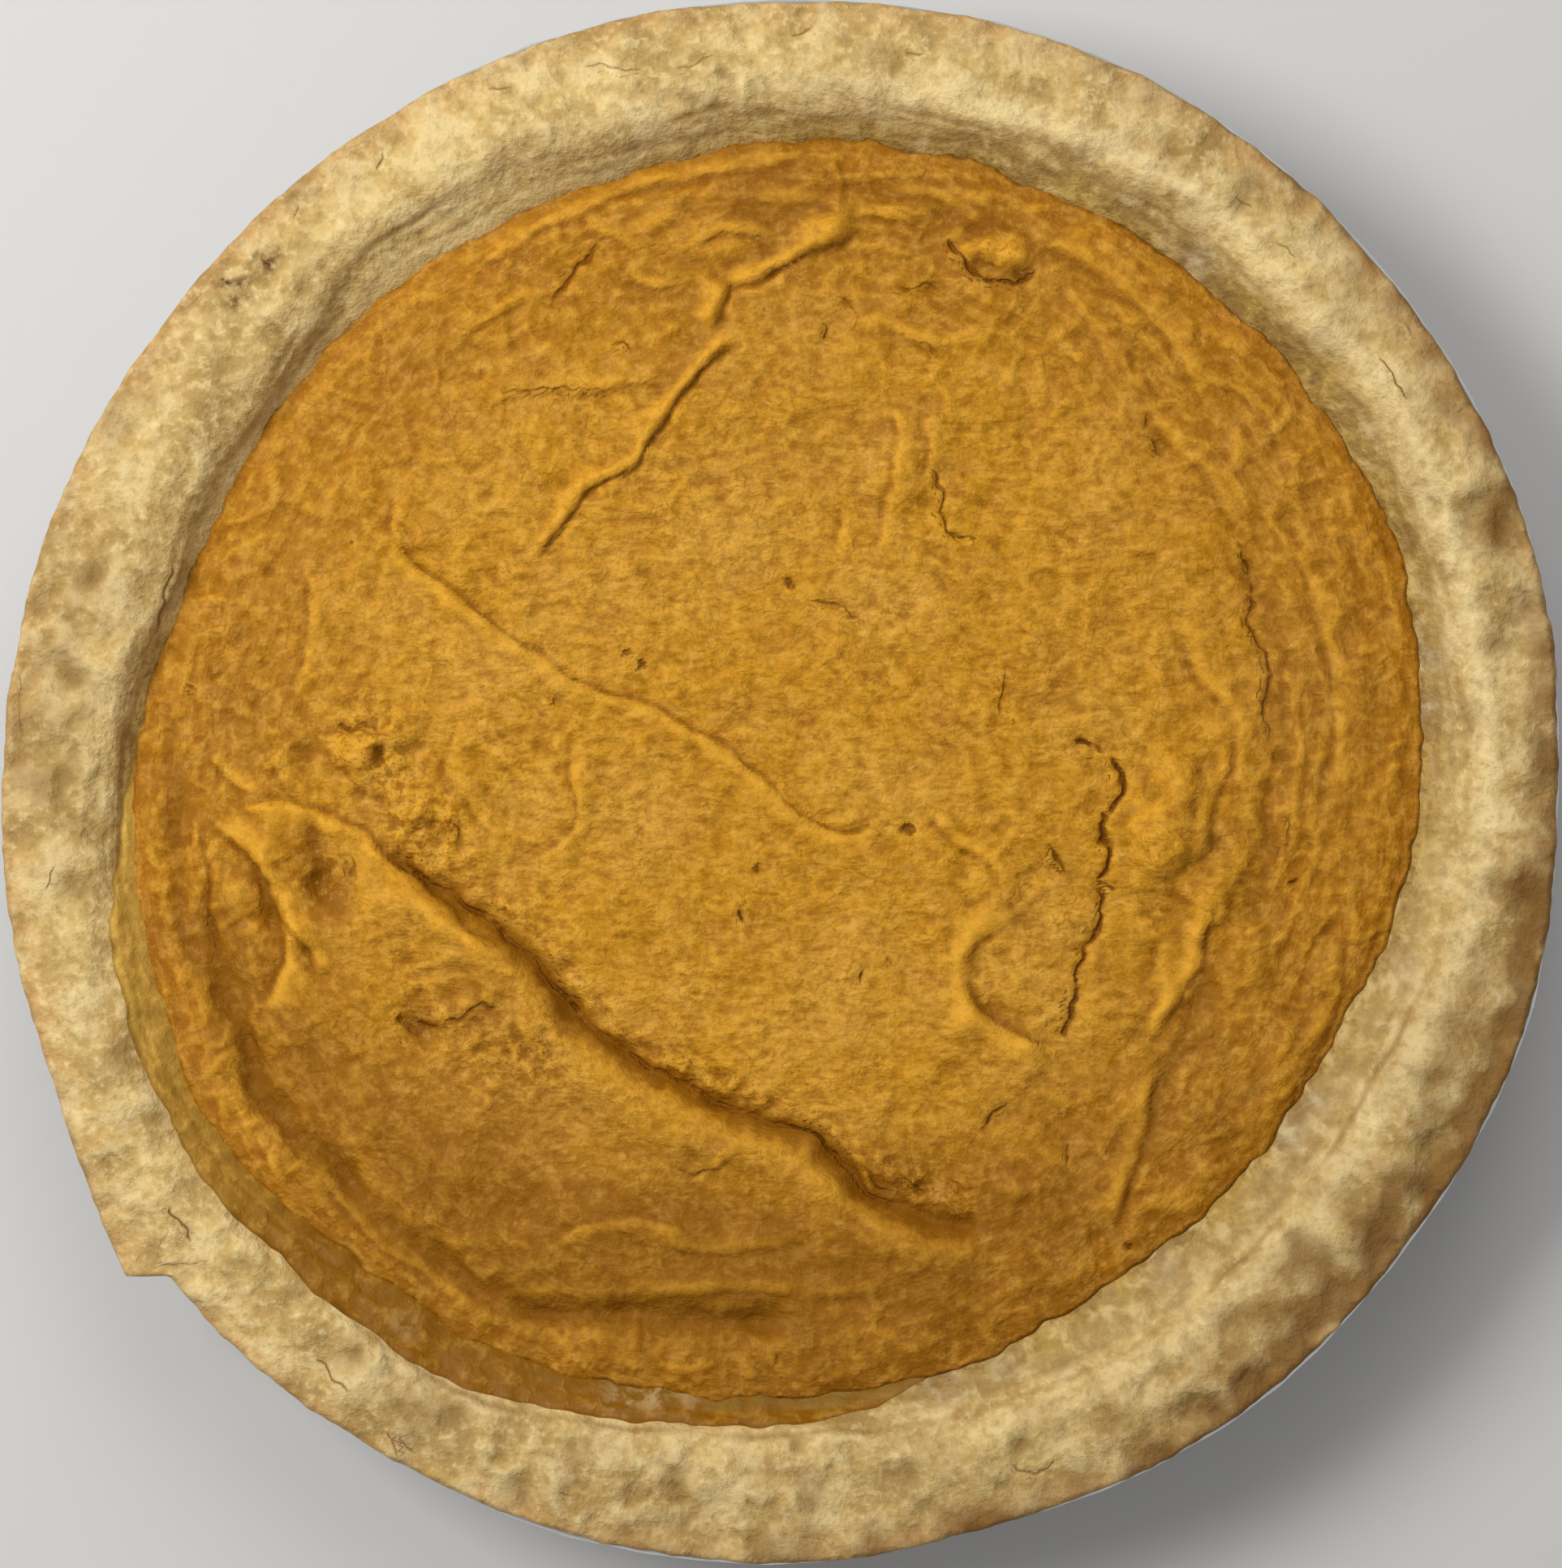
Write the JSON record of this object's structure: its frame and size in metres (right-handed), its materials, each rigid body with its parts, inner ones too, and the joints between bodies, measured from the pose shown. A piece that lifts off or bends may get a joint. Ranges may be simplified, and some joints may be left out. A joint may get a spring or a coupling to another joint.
{
  "type": "sweet potato pie",
  "caption": "Round open sweet potato pie with a wrinkled orange filling and a pale pressed crust rim, whole, in its own foil pan.",
  "frame": {"origin": "on the vertical line through the middle of the pie's outline, at the underside of the foil pan's flat base", "axes": "+Z up; seen from above with +X to the right and +Y up, the pie lies as in the picture, with the loose flap of the crust at the lower left"},
  "size_m": [0.245, 0.2466, 0.0364],
  "materials": {
    "foil": "thin bright rolled foil",
    "crust": "dry baked dough, cream with tan patches",
    "filling": "moist satin baked sweet potato custard"
  },
  "bodies": {
    "root": {"foil_pan": "foil", "pie_crust": "crust", "sweet_potato_filling": "filling"}
  },
  "joints": []
}
